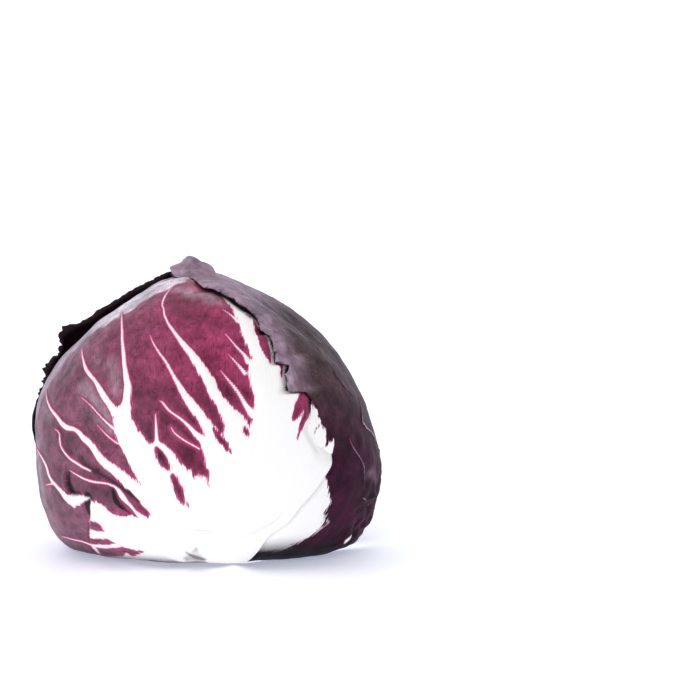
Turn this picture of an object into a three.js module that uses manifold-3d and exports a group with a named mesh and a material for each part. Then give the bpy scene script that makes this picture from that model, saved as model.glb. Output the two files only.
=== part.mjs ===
// A head of radicchio, lying on its side as it settles on a table: three broad outer leaves, a second
// whorl of three leaves under them, the packed heart and the short core with its cut face.
//
// Millimetres, +Z up, -Y the front. The origin is on the table, at the middle of the flat spot that the
// head lies on.
//
// The head is a lumpy ball. Every leaf is a blade that lies on that ball, and it is drawn on a fan of its
// own: "turn" is the angle round the stem, in degrees from the leaf's midrib and positive to the right of
// it, and "reach" is the way up the leaf, in degrees from 0 at the stem to 180 at the far side of the ball.
// Where another leaf covers it, a blade sinks by one layer, so the leaves lie in each other without
// touching.
import * as THREE from "three";
import { mergeVertices } from "three/addons/utils/BufferGeometryUtils.js";
import Module from "manifold-3d";

// ---- the ball ----
const CENTRE_Z = 43; // the middle of the head, above the table
const HALF_WIDTH = 62;
const HALF_LENGTH = 59;
const HALF_UP = 62;
const HALF_DOWN = 50; // more than CENTRE_Z, so the table cuts a flat spot
const SQUARENESS = 2.25; // 2 is an ellipsoid, more is squarer
const FLAT_ROUND = 6; // the ball turns into its flat spot over about this much
const SWELL_SPREAD = 26; // degrees
const SWELLS = [
  // [bearing, height in degrees], mm out
  [[-90, 62], -5],
  [[-90, 38], -4.5],
  [[-90, 12], 4],
  [[-90, -14], -1.5],
  [[-90, -38], 9.5],
  [[90, 62], -11.5],
  [[90, 38], -8.5],
  [[90, 12], -2],
  [[90, -14], 1],
  [[90, -38], 9],
  [[0, 88], 3],
];

// ---- the blades ----
const BLADE = 1.4; // thickness of an outer leaf
const UNDER_BLADE = 1; // and of one in the second whorl
const PITCH = 2.6; // one layer: a blade and the air under it
const UNDER_PITCH = 3.8; // one layer of the second whorl
const UNDER_DROP = 1.2; // more air over the second whorl
const TUCK_START = 16; // a blade starts to sink this far outside the leaf that covers it
const TUCK_LENGTH = 14; // and is down by this much further in
const STEM_POLE = [0, -58]; // where the core meets the ball
const LEAF_FOOT = 10.5; // reach at which a blade grows from the core, degrees
const CROSSING = [-4, 4]; // height at which the front and right leaves change places, degrees

// ---- the core ----
const CUT_DISTANCE = 45; // its cut face, from the middle of the head
const CORE_CONE = 9.8; // half angle of its foot, degrees
const CORE_DEPTH = 24; // how near it comes to the middle of the head
const CORE_TIP = 3.5; // radius there
const CORE_SIDES = 20;
const CLEARANCE = 0.4;

const DEG = Math.PI / 180;
const CENTRE = new THREE.Vector3(0, 0, CENTRE_Z);

// A direction from the middle of the head: bearing 0 faces the front, 90 the right; height above the
// horizon. Both in degrees.
function direction([bearing, height]) {
  const level = Math.cos(height * DEG);
  return new THREE.Vector3(
    Math.sin(bearing * DEG) * level,
    -Math.cos(bearing * DEG) * level,
    Math.sin(height * DEG),
  );
}

const clamp = (x, low, high) => Math.min(Math.max(x, low), high);
const mix = (a, b, t) => a + (b - a) * t;

function smooth(x) {
  const t = clamp(x, 0, 1);
  return t * t * (3 - 2 * t);
}

// A smooth curve through [x, y] knots, level past both ends.
function along(knots, x) {
  const last = knots.length - 1;
  const at = clamp(x, knots[0][0], knots[last][0]);
  let i = 0;
  while (i < last - 1 && at > knots[i + 1][0]) i += 1;
  const slope = (k) => {
    const a = knots[Math.max(k - 1, 0)];
    const b = knots[Math.min(k + 1, last)];
    return (b[1] - a[1]) / (b[0] - a[0]);
  };
  const step = knots[i + 1][0] - knots[i][0];
  const t = (at - knots[i][0]) / step;
  const start = knots[i][1] + slope(i) * step * t;
  const end = knots[i + 1][1] + slope(i + 1) * step * (t - 1);
  return mix(start, end, smooth(t));
}

const swells = SWELLS.map(([place, out]) => ({ towards: direction(place), out }));

function ballRadius(d) {
  const halfHeight = d.z > 0 ? HALF_UP : HALF_DOWN;
  const sum =
    Math.abs(d.x / HALF_WIDTH) ** SQUARENESS +
    Math.abs(d.y / HALF_LENGTH) ** SQUARENESS +
    Math.abs(d.z / halfHeight) ** SQUARENESS;
  let r = sum ** (-1 / SQUARENESS);
  for (const { towards, out } of swells) {
    r += out * Math.exp(-((d.angleTo(towards) / DEG / SWELL_SPREAD) ** 2));
  }
  return r;
}

// The point that stands `out` mm above the ball, and never below the table, which it meets in a round
// turn. An inner layer keeps its depth above the table too.
function place(d, out) {
  let r = ballRadius(d) + out;
  if (d.z < 0) {
    const table = (CENTRE_Z + Math.min(out, 0)) / -d.z;
    const share = clamp(0.5 + (table - r) / (2 * FLAT_ROUND), 0, 1);
    r = mix(table, r, share) - FLAT_ROUND * share * (1 - share);
  }
  return CENTRE.clone().addScaledVector(d, r);
}

// ---- a leaf's fan ----
// The fan is a stereographic map seen from the leaf's far pole, so its angles are true everywhere.
class Leaf {
  constructor(shape) {
    Object.assign(this, shape);
    this.pole = direction(this.far);
    this.e1 = new THREE.Vector3().crossVectors(this.pole, new THREE.Vector3(0, 0, 1)).normalize();
    this.e2 = new THREE.Vector3().crossVectors(this.pole, this.e1);
    this.origin = this.flatten(direction(STEM_POLE));
    this.scale = (1 + this.origin.lengthSq()) / 2;
    this.heading = this.flatten(direction(this.rib)).sub(this.origin).angle();
  }

  flatten(d) {
    return new THREE.Vector2(d.dot(this.e1), d.dot(this.e2)).divideScalar(1 - d.dot(this.pole));
  }

  towards(turn, reach) {
    const r = 2 * Math.tan((reach * DEG) / 2) * this.scale;
    const a = turn * DEG + this.heading;
    const x = this.origin.x + r * Math.cos(a);
    const y = this.origin.y + r * Math.sin(a);
    const q = x * x + y * y;
    return new THREE.Vector3()
      .addScaledVector(this.e1, (2 * x) / (1 + q))
      .addScaledVector(this.e2, (2 * y) / (1 + q))
      .addScaledVector(this.pole, (q - 1) / (1 + q));
  }

  // Where a direction falls on the fan, with the size there: mm of ball for each unit of the flat map.
  read(d) {
    const flat = this.flatten(d);
    const size = (2 * this.scale * ballRadius(d)) / (1 + flat.lengthSq());
    const fan = flat.sub(this.origin).divideScalar(this.scale);
    const half = fan.length() / 2;
    return {
      turn: (fan.angle() - this.heading) / DEG,
      reach: (2 * Math.atan(half)) / DEG,
      mmPerTurn: size * 2 * half * DEG,
      mmPerReach: size * (1 + half * half) * DEG,
    };
  }

  tipReach(side) {
    const drop = side < 0 ? this.tip.dropLeft : this.tip.dropRight;
    return this.tip.reach - drop * Math.min(Math.abs(side), 1) ** 3;
  }

  // The two side margins at a reach, with the ragged stretch of each.
  sides(reach) {
    const { left = 0, right = 0, from = 0 } = this.ragged;
    const teeth = (Math.sin(reach * 0.52) + 0.5 * Math.sin(reach * 0.97 + 1)) * smooth((reach - from) / 8);
    return [along(this.left, reach) - left * teeth, along(this.right, reach) + right * teeth];
  }

  // side runs from -1 at the left margin to 1 at the right, up from 0 at the foot to 1 at the tip.
  at(side, up) {
    const reach = mix(LEAF_FOOT, this.tipReach(side), up);
    const [left, right] = this.sides(reach);
    return { turn: mix(left, right, (side + 1) / 2), reach };
  }

  // How far inside the outline a direction lies, in mm; negative outside.
  inside(d) {
    const { turn, reach, mmPerTurn, mmPerReach } = this.read(d);
    const [left, right] = this.sides(reach);
    const middle = (left + right) / 2;
    const half = (right - left) / 2;
    const off = ((((turn - middle + 180) % 360) + 360) % 360) - 180;
    const fromSide = (half - Math.abs(off)) * mmPerTurn;
    const fromTip = (this.tipReach(off / half) - reach) * mmPerReach;
    return Math.min(fromSide, fromTip);
  }
}

const tuck = (leaf, d) => smooth((leaf.inside(d) + TUCK_START) / TUCK_LENGTH);

// Margins are [reach, turn] knots, and `ragged` is how far their teeth go, in degrees of turn, above a
// reach. Curls lift a stretch of margin: mm out at [turn, reach], fading over
// `spread` degrees round it and `depth` mm in from the margin.
const front = new Leaf({
  far: [180, 35],
  rib: [12, 17],
  left: [[10, -125], [35, -128], [52, -128], [70, -122], [90, -112], [103, -102], [118, -88], [136, -68]],
  right: [
    [10, 60], [25, 36], [40, 33], [52, 35], [57, 35], [60.5, 33.2], [64.5, 29.2],
    [70, 38], [78, 48], [92, 54], [115, 50], [136, 42],
  ],
  tip: { reach: 142, dropLeft: 6, dropRight: 14 },
  ragged: {},
  curls: [],
});

const right = new Leaf({
  far: [-75, 40],
  rib: [115, 0],
  left: [
    [10, -90], [30, -85], [42, -78], [50, -67], [54, -56], [58, -46.5], [62, -46.5], [67, -48.5],
    [72, -51.5], [76, -53], [79, -56], [86, -54.5], [97, -53], [107, -50], [120, -46], [128, -40],
    [134, -34],
  ],
  right: [[10, 80], [30, 65], [67, 50], [92, 40], [108, 22], [122, 2], [134, -8]],
  tip: { reach: 135, dropLeft: 9, dropRight: 12 },
  ragged: { left: 1.3, from: 66 },
  curls: [
    { at: [-48, 112], spread: 16, depth: 9, out: 1.6 },
    { at: [-55, 86], spread: 14, depth: 8, out: 1.8 },
    { at: [-24, 135], spread: 12, depth: 10, out: 6.5 },
  ],
});

const back = new Leaf({
  far: [40, 40],
  rib: [-140, 0],
  left: [[10, -70], [25, -50], [40, -44], [58, -38], [80, -33], [101, -22], [114, -12]],
  right: [
    [10, 60], [24, 28], [33, 17], [41, 15], [50, 20], [60, 26], [68, 29], [76, 28.5],
    [82, 27], [88, 22], [94, 15.5], [101, 12.5], [108, 10.5], [114, 8],
  ],
  tip: { reach: 114, dropLeft: 14, dropRight: 2 },
  ragged: { left: 1.2, right: 1.2, from: 44 },
  curls: [
    { at: [15, 38], spread: 13, depth: 14, out: 1.3 },
    { at: [29, 70], spread: 8, depth: 9, out: 3.2 },
    { at: [27, 82], spread: 6, depth: 10, out: 6.5 },
    { at: [21, 89], spread: 5, depth: 10, out: 6 },
    { at: [14, 99], spread: 10, depth: 9, out: 3.4 },
    { at: [8, 110], spread: 7, depth: 8, out: 3 },
  ],
});

// The leaves under them are plain fans, one whorl turned between the outer leaves.
function innerLeaf(bearing, height) {
  return new Leaf({
    far: [bearing + 180, 38],
    rib: [bearing, height],
    left: [[10, -90], [40, -72], [80, -66], [120, -56]],
    right: [[10, 90], [40, 72], [80, 66], [120, 56]],
    tip: { reach: 118, dropLeft: 20, dropRight: 20 },
    ragged: {},
    curls: [],
    under: true,
  });
}

const underLeft = innerLeaf(-60, 10);
const underRight = innerLeaf(60, 10);
const underBack = innerLeaf(180, 5);

// Above CROSSING the right leaf lies over the front one, below it the front leaf lies over the right one.
function rightOverFront(d) {
  const height = Math.asin(clamp(d.z, -1, 1)) / DEG;
  return smooth((height - CROSSING[0]) / (CROSSING[1] - CROSSING[0]));
}

const always = () => 1;
const layer = (leaf) => (leaf.under ? UNDER_PITCH : PITCH);
const OVER = new Map([
  [back, []],
  [right, [[back, always], [front, (d) => 1 - rightOverFront(d)]]],
  [front, [[back, always], [right, rightOverFront]]],
  [underLeft, [[back, always], [right, always], [front, always]]],
  [underRight, [[back, always], [right, always], [front, always], [underLeft, always]]],
  [underBack, [[back, always], [right, always], [front, always], [underLeft, always], [underRight, always]]],
]);

// How far a leaf's outer face stands above the ball.
function lift(leaf, d) {
  let out = leaf.under ? -UNDER_DROP : 0;
  for (const [cover, share] of OVER.get(leaf)) out -= layer(cover) * share(d) * tuck(cover, d);
  if (leaf.curls.length === 0) return out;
  const edge = leaf.inside(d);
  for (const curl of leaf.curls) {
    const away = leaf.towards(...curl.at).angleTo(d) / DEG / curl.spread;
    out += curl.out * Math.exp(-away * away) * (1 - smooth(edge / curl.depth));
  }
  return out;
}

// ---- solids ----
const wasm = await Module();
wasm.setup();

function geometryOf(points, triangles) {
  const g = new THREE.BufferGeometry();
  const position = new THREE.Float32BufferAttribute(points.length * 3, 3);
  points.forEach((p, i) => position.setXYZ(i, p.x, p.y, p.z));
  g.setAttribute("position", position);
  g.setIndex(triangles.flat());
  return g;
}

function solidOf(geometry) {
  const plain = geometry.clone();
  plain.deleteAttribute("normal");
  plain.deleteAttribute("uv");
  const merged = mergeVertices(plain, 1e-4);
  return new wasm.Manifold(
    new wasm.Mesh({
      numProp: 3,
      vertProperties: merged.attributes.position.array,
      triVerts: new Uint32Array(merged.index.array),
    }),
  );
}

function geometryFrom(solid) {
  const mesh = solid.getMesh();
  const g = new THREE.BufferGeometry();
  g.setAttribute("position", new THREE.BufferAttribute(mesh.vertProperties, 3));
  g.setIndex(new THREE.BufferAttribute(mesh.triVerts, 1));
  return g;
}

// A leaf's blade: the same grid of triangles on both faces, joined by a rim.
function blade(leaf, thickness, columns, rows) {
  const outer = [];
  const inner = [];
  for (let j = 0; j <= rows; j += 1) {
    for (let i = 0; i <= columns; i += 1) {
      const { turn, reach } = leaf.at(mix(-1, 1, i / columns), j / rows);
      const d = leaf.towards(turn, reach);
      const out = lift(leaf, d);
      outer.push(place(d, out));
      inner.push(place(d, out - thickness));
    }
  }
  const count = outer.length;
  const index = (i, j) => j * (columns + 1) + i;
  const triangles = [];
  for (let j = 0; j < rows; j += 1) {
    for (let i = 0; i < columns; i += 1) {
      const [a, b, c, d] = [index(i, j), index(i + 1, j), index(i + 1, j + 1), index(i, j + 1)];
      triangles.push([a, b, c], [a, c, d]);
      triangles.push([a + count, c + count, b + count], [a + count, d + count, c + count]);
    }
  }
  const rim = [];
  for (let i = 0; i < columns; i += 1) rim.push(index(i, 0));
  for (let j = 0; j < rows; j += 1) rim.push(index(columns, j));
  for (let i = columns; i > 0; i -= 1) rim.push(index(i, rows));
  for (let j = rows; j > 0; j -= 1) rim.push(index(0, j));
  rim.forEach((a, k) => {
    const b = rim[(k + 1) % rim.length];
    triangles.push([a, a + count, b + count], [a, b + count, b]);
  });
  return geometryOf([...outer, ...inner], triangles);
}

// A rib is a low ridge on the outer face, through [turn, reach, half width] knots, widest at its foot.
const RIB_STEP = 6; // from one section to the next, mm
const RIB_ROOT = 1.05; // how deep it is sunk into the blade
const RIB_FOOT = 0.6; // how deep its two sides are sunk
const RIB_SECTION = [
  // across in half widths, and 1 for the crest, 0 for the foot, -1 for the root
  [-1, 0],
  [0, -1],
  [1, 0],
  [0, 1],
];
const ribCrest = (halfWidth) => 0.35 + 0.15 * halfWidth;

function rib(leaf, knots) {
  const path = (k) => knots.map((knot, i) => [i / (knots.length - 1), knot[k]]);
  const [turns, reaches, widths] = [path(0), path(1), path(2)];
  const stops = knots.map(([turn, reach]) => place(leaf.towards(turn, reach), 0));
  const length = stops.reduce((sum, p, i) => sum + p.distanceTo(stops[Math.max(i - 1, 0)]), 0);
  const steps = Math.ceil(length / RIB_STEP);
  const points = [];
  for (let i = 0; i <= steps; i += 1) {
    const t = i / steps;
    const turn = along(turns, t);
    const reach = along(reaches, t);
    const width = along(widths, t);
    const middle = leaf.read(leaf.towards(turn, reach));
    const ahead = Math.min(t + 0.02, 1);
    const behind = Math.max(t - 0.02, 0);
    const across = new THREE.Vector2(
      (along(reaches, ahead) - along(reaches, behind)) * middle.mmPerReach,
      -(along(turns, ahead) - along(turns, behind)) * middle.mmPerTurn,
    ).normalize();
    for (const [side, level] of RIB_SECTION) {
      const d = leaf.towards(
        turn + (side * width * across.x) / middle.mmPerTurn,
        reach + (side * width * across.y) / middle.mmPerReach,
      );
      const rise = [-RIB_ROOT, -RIB_FOOT, ribCrest(width)][level + 1];
      points.push(place(d, lift(leaf, d) + rise));
    }
  }
  const sides = RIB_SECTION.length;
  const triangles = [];
  for (let i = 0; i < steps; i += 1) {
    for (let k = 0; k < sides; k += 1) {
      const a = i * sides + k;
      const b = i * sides + ((k + 1) % sides);
      triangles.push([a, b + sides, b], [a, a + sides, b + sides]);
    }
  }
  const end = steps * sides;
  for (let k = 1; k < sides - 1; k += 1) {
    triangles.push([0, k, k + 1], [end, end + k + 1, end + k]);
  }
  return geometryOf(points, triangles);
}

function ribbedLeaf(leaf, columns, rows, ribs) {
  let solid = solidOf(blade(leaf, BLADE, columns, rows));
  for (const knots of ribs) solid = solid.add(solidOf(rib(leaf, knots)));
  return geometryFrom(solid);
}

const FRONT_RIBS = [
  [[25, 15, 7], [18, 36, 7], [13, 55, 6], [5, 79, 4], [-1, 93, 1.6], [-3, 99, 0.7]],
  [[10, 40, 4], [-3, 62, 3], [-14, 80, 2], [-20, 94, 1.1], [-22, 102, 0.6]],
  [[-3, 52, 2.2], [-14, 69, 1.4], [-22, 84, 0.9], [-24, 89, 0.6]],
  [[-12, 28, 4], [-25, 40, 3.6], [-32, 57, 3], [-31, 80, 2], [-33, 94, 1.1], [-35, 101, 0.6]],
  [[-33, 57, 2], [-39, 75, 1.2], [-46, 90, 0.6]],
  [[-20, 30, 3], [-36, 46, 2], [-48, 64, 1.8], [-56, 73, 1.2], [-62, 84, 0.6]],
  [[-58, 43, 1.6], [-71, 56, 1.2], [-76, 70, 1], [-82, 77, 0.6]],
  [[22, 30, 4], [24, 46, 3], [23, 58, 1.5]],
];

const RIGHT_RIBS = [
  [[0, 14, 6], [0, 45, 5], [-4, 75, 3], [-12, 98, 1.4], [-18, 116, 0.6]],
  [[-2, 56, 2.2], [-13, 61, 1.8], [-33, 66, 1.2], [-41, 75, 0.6]],
  [[-4, 74, 1.8], [-20, 88, 1.2], [-34, 104, 0.6]],
];

const BACK_RIBS = [
  [[1, 17, 6], [0, 45, 5], [0, 75, 3], [0, 95, 1.2], [1, 104, 0.6]],
  [[-1, 40, 2.2], [-14, 56, 1.4], [-21, 72, 0.7]],
  [[-1, 62, 1.8], [-10, 78, 1.2], [-15, 90, 0.6]],
  [[1, 36, 2.2], [10, 52, 1.4], [17, 66, 0.7]],
  [[1, 58, 1.8], [10, 75, 1.2], [14, 84, 0.6]],
];

// ---- the core ----
// A turned solid along the stem's axis: a cone's frustum at its foot, tapering to CORE_TIP inside.
function coreGeometry(margin) {
  const cut = CUT_DISTANCE + (margin > 0 ? HALF_DOWN - CUT_DISTANCE + CLEARANCE : 0);
  const foot = Math.tan((CORE_CONE + margin) * DEG) * cut;
  const grow = margin > 0 ? CLEARANCE : 0;
  const profile = [
    [0, CORE_DEPTH - grow],
    [CORE_TIP + grow, CORE_DEPTH - grow],
    [foot * 0.82 + grow, cut * 0.86],
    [foot, cut],
    [0, cut],
  ];
  const g = new THREE.LatheGeometry(profile.map(([r, y]) => new THREE.Vector2(r, y)), CORE_SIDES);
  const turnToAxis = new THREE.Quaternion().setFromUnitVectors(
    new THREE.Vector3(0, 1, 0),
    direction(STEM_POLE),
  );
  g.applyQuaternion(turnToAxis);
  g.translate(0, 0, CENTRE_Z);
  return g;
}

// ---- the heart ----
const HEART_DETAIL = 7;
const HEART_STEP = 1.5; // its own leaves stand out by this much
const HEART_STEP_LENGTH = 8;

function heartGeometry() {
  const folds = [innerLeaf(0, 20), innerLeaf(120, 15), innerLeaf(-120, 15)];
  const g = new THREE.IcosahedronGeometry(1, HEART_DETAIL);
  const position = g.attributes.position;
  for (let i = 0; i < position.count; i += 1) {
    const d = new THREE.Vector3().fromBufferAttribute(position, i).normalize();
    let out = -BLADE - UNDER_DROP;
    for (const leaf of OVER.keys()) out -= layer(leaf) * tuck(leaf, d);
    for (const fold of folds) {
      out -= HEART_STEP * (1 - smooth(fold.inside(d) / HEART_STEP_LENGTH + 0.5));
    }
    position.setXYZ(i, ...place(d, out));
  }
  const socket = solidOf(coreGeometry(1));
  return geometryFrom(solidOf(g).subtract(socket));
}

// ---- the head ----
const finish = (color, roughness) =>
  new THREE.MeshStandardMaterial({ color, roughness, metalness: 0, flatShading: true });

const head = new THREE.Group();

function add(name, geometry, material) {
  const mesh = new THREE.Mesh(geometry, material);
  mesh.name = name;
  head.add(mesh);
}

const COLUMNS = 30;
const ROWS = 19;
const UNDER_COLUMNS = 20;
const UNDER_ROWS = 13;

add("stem", coreGeometry(0), finish(0x9a8b7a, 0.85));
add("heart", heartGeometry(), finish(0xe6dcd8, 0.6));
add("under_leaf_left", blade(underLeft, UNDER_BLADE, UNDER_COLUMNS, UNDER_ROWS), finish(0x9a5570, 0.5));
add("under_leaf_right", blade(underRight, UNDER_BLADE, UNDER_COLUMNS, UNDER_ROWS), finish(0x8f4c68, 0.5));
add("under_leaf_back", blade(underBack, UNDER_BLADE, UNDER_COLUMNS, UNDER_ROWS), finish(0x854560, 0.5));
add("front_leaf", ribbedLeaf(front, COLUMNS, ROWS, FRONT_RIBS), finish(0x8d415c, 0.5));
add("right_leaf", ribbedLeaf(right, COLUMNS, ROWS, RIGHT_RIBS), finish(0x513e49, 0.55));
add("back_leaf", ribbedLeaf(back, COLUMNS, ROWS, BACK_RIBS), finish(0x5d3a4c, 0.55));

export default head;
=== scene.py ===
import math

import bmesh
import bpy
import numpy as np
from mathutils import Matrix, Vector, noise


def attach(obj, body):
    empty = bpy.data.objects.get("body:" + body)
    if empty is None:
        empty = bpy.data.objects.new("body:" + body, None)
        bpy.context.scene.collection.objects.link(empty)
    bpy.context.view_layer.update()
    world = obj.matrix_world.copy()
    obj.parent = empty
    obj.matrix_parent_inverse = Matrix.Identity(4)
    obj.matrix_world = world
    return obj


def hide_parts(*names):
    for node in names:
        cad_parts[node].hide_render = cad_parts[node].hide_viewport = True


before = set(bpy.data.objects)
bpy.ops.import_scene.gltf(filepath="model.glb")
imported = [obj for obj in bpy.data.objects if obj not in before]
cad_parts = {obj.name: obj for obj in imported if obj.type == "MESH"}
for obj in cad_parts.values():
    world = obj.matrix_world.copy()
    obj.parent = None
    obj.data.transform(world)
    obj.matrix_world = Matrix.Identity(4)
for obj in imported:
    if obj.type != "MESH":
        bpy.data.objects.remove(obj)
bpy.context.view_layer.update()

# A head of radicchio lying on its side on a pale table. Its three outer leaves are drawn again here, on the
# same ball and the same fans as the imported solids, with finer ribs, margins, folds and colour.
#
# Shapes are worked out in millimetres and put on the meshes in metres. A leaf's fan has two coordinates, in
# degrees: turn, from its midrib and positive to the right, and reach, from 0 at the stem up the leaf.

MM = 0.001
DEG = math.pi / 180

# ---- the ball ----
CENTRE_Z = 43
HALF_WIDTH = 62
HALF_LENGTH = 59
HALF_UP = 62
HALF_DOWN = 50
SQUARENESS = 2.25
FLAT_ROUND = 6  # mm over which the flat that the head rests on rounds into the ball
SWELL_SPREAD = 26  # degrees
# Swells are (bearing, height) and mm out.
SWELLS = [
    ((-90, 62), -5),
    ((-90, 38), -4.5),
    ((-90, 12), 4),
    ((-90, -14), -1.5),
    ((-90, -38), 9.5),
    ((90, 62), -11.5),
    ((90, 38), -8.5),
    ((90, 12), -2),
    ((90, -14), 1),
    ((90, -38), 9),
    ((0, 88), 3),
]

# ---- the blades ----
BLADE = 1.4  # thickness
THIN_EDGE = 0.45  # share of BLADE left at a free margin
THIN_LENGTH = 7  # from a margin to where the blade is full
PITCH = 2.6  # how far a leaf lies below one that is over it
TUCK_START = 4  # a leaf starts to sink this far outside the margin of the leaf over it
TUCK_LENGTH = 9  # and lies a full PITCH down this far inside it
TUCK_AT_EDGE = 0.36  # share of the tuck right at that margin
PRESSED_FLAT = 0.1  # share of its relief that a leaf keeps under another
PRESSED_SOON = 2.6  # it is down to that share where it is covered by one part in this many
STEM_POLE = (0, -58)  # bearing and height
LEAF_FOOT = 10.5  # reach at which a blade starts
CROSSING = (-4, 4)  # heights between which the right leaf goes from under the front one to over it
COLUMNS = 356
ROWS = 252
INNER_COLUMNS = 60
INNER_ROWS = 42

# Teeth along a margin are waves of (height, radians in a degree of reach, shift).
SOFT_TEETH = [(1, 0.52, 0), (0.5, 0.97, 1)]
NICKS = [(0.5, 2.3, 0), (1, 1.37, 2), (0.3, 4.1, 1)]
NICK_FADE = 9  # power by which nicks die away from a margin
SAW_DEPTH = 1.6  # depth of the saw teeth among the right leaf's nicks
SAW_TEETH = 0.4  # a degree of reach
FRILL_TEETH = [(0.5, 2.9, 0), (0.35, 5.3, 1), (0.3, 7.7, 0)]
FRILL_TOP = (109, 104)  # the back leaf's teeth are gone at the first reach and full at the second
FRILL_ROOM = 1.4  # mm that the inside of the back leaf keeps clear of its teeth


def mix(a, b, t):
    return a + (b - a) * t


def smooth(x):
    t = np.clip(x, 0, 1)
    return t * t * (3 - 2 * t)


def ramp(x, start, end):
    """0 up to `start` and 1 from `end` on, either way round."""
    return smooth((x - start) / (end - start))


def waves(parts, reach):
    return sum(height * np.sin(reach * often + shift) for height, often, shift in parts)


def along(knots, x):
    """A smooth curve through (x, y) knots, level past both ends."""
    kx, ky = np.array(knots, float).T
    last = len(kx) - 1
    at = np.clip(x, kx[0], kx[last])
    i = np.clip(np.searchsorted(kx, at) - 1, 0, last - 1)

    def slope(k):
        a, b = np.maximum(k - 1, 0), np.minimum(k + 1, last)
        return (ky[b] - ky[a]) / (kx[b] - kx[a])

    step = kx[i + 1] - kx[i]
    t = (at - kx[i]) / step
    start = ky[i] + slope(i) * step * t
    end = ky[i + 1] + slope(i + 1) * step * (t - 1)
    return mix(start, end, smooth(t))


def direction(bearing, height):
    """A direction out of the ball, with bearing 0 to the front and 90 to the right."""
    level = math.cos(height * DEG)
    return np.array(
        [math.sin(bearing * DEG) * level, -math.cos(bearing * DEG) * level, math.sin(height * DEG)]
    )


def angle_between(d, axis):
    return np.arccos(np.clip(d @ axis, -1, 1)) / DEG


def ball_radius(d):
    half_height = np.where(d[:, 2] > 0, HALF_UP, HALF_DOWN)
    total = (
        np.abs(d[:, 0] / HALF_WIDTH) ** SQUARENESS
        + np.abs(d[:, 1] / HALF_LENGTH) ** SQUARENESS
        + np.abs(d[:, 2] / half_height) ** SQUARENESS
    )
    r = total ** (-1 / SQUARENESS)
    for spot, out in SWELLS:
        r = r + out * np.exp(-((angle_between(d, direction(*spot)) / SWELL_SPREAD) ** 2))
    return r


def place(d, out):
    """Points `out` mm above the ball, and never below the table."""
    r = ball_radius(d) + out
    low = d[:, 2] < 0
    table = (CENTRE_Z + np.minimum(out, 0)) / np.where(low, -d[:, 2], 1)
    share = np.clip(0.5 + (table - r) / (2 * FLAT_ROUND), 0, 1)
    settled = mix(table, r, share) - FLAT_ROUND * share * (1 - share)
    r = np.where(low, settled, r)
    return np.array([0, 0, CENTRE_Z]) + d * r[:, None]


class Leaf:
    def __init__(self, far, rib, left, right, tip, ragged=(0, 0, 0), curls=(), swells=()):
        self.left, self.right, self.tip, self.ragged = left, right, tip, ragged
        self.curls, self.swells = curls, swells
        self.pole = direction(*far)
        self.e1 = np.cross(self.pole, [0, 0, 1])
        self.e1 /= np.linalg.norm(self.e1)
        self.e2 = np.cross(self.pole, self.e1)
        self.origin = self.flatten(direction(*STEM_POLE)[None])[0]
        self.scale = (1 + self.origin @ self.origin) / 2
        ahead = self.flatten(direction(*rib)[None])[0] - self.origin
        self.heading = math.atan2(ahead[1], ahead[0])

    def flatten(self, d):
        return np.stack([d @ self.e1, d @ self.e2], 1) / (1 - d @ self.pole)[:, None]

    def towards(self, turn, reach):
        r = 2 * np.tan(np.asarray(reach, float) * DEG / 2) * self.scale
        a = np.asarray(turn, float) * DEG + self.heading
        x = self.origin[0] + r * np.cos(a)
        y = self.origin[1] + r * np.sin(a)
        q = x * x + y * y
        flat = np.outer(2 * x, self.e1) + np.outer(2 * y, self.e2) + np.outer(q - 1, self.pole)
        return flat / (1 + q)[:, None]

    def soft_spot(self, d, turn, reach, spread):
        """1 at a spot on the leaf, fading away over `spread` degrees."""
        return np.exp(-((angle_between(d, self.towards([turn], [reach])[0]) / spread) ** 2))

    def read(self, d):
        """Turn and reach of directions, and the mm of one degree of each there."""
        flat = self.flatten(d)
        size = 2 * self.scale * ball_radius(d) / (1 + (flat**2).sum(1))
        fan = (flat - self.origin) / self.scale
        half = np.hypot(fan[:, 0], fan[:, 1]) / 2
        turn = (np.arctan2(fan[:, 1], fan[:, 0]) - self.heading) / DEG
        reach = 2 * np.arctan(half) / DEG
        return turn, reach, size * 2 * half * DEG, size * (1 + half * half) * DEG

    def tip_reach(self, side):
        top, drop_left, drop_right = self.tip
        return top - np.where(side < 0, drop_left, drop_right) * np.minimum(np.abs(side), 1) ** 3

    def sides(self, reach):
        left, right, start = self.ragged
        teeth = waves(SOFT_TEETH, reach) * ramp(reach, start, start + 8)
        return along(self.left, reach) - left * teeth, along(self.right, reach) + right * teeth

    def inside(self, d):
        """How far inside the outline directions lie, in mm; negative outside."""
        turn, reach, mm_per_turn, mm_per_reach = self.read(d)
        left, right = self.sides(reach)
        middle, half = (left + right) / 2, (right - left) / 2
        off = (turn - middle + 180) % 360 - 180
        from_side = (half - np.abs(off)) * mm_per_turn
        from_tip = (self.tip_reach(off / half) - reach) * mm_per_reach
        return np.minimum(from_side, from_tip)


# A leaf's far point and a point on its midrib are (bearing, height), its sides are (reach, turn) knots, and
# its tip is the reach of the tip and how much less it is at the left and the right corner. Ragged gives the
# degrees of soft teeth on its left and right and the reach they start at. Curls of the margin are (turn,
# reach), spread in degrees, depth and mm out, and swells are (turn, reach), spread and mm out.
front = Leaf(
    far=(180, 35),
    rib=(12, 17),
    left=[(10, -125), (35, -128), (52, -128), (70, -122), (90, -112), (103, -102), (118, -88), (136, -68)],
    right=[
        (10, 60), (25, 36), (40, 33), (52, 35), (57, 35.6), (60.5, 36), (64.5, 36),
        (70, 38), (78, 48), (92, 54), (115, 50), (136, 42),
    ],
    tip=(142, 6, 14),
    swells=[((-42, 104), 15, 0.9)],
)

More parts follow.
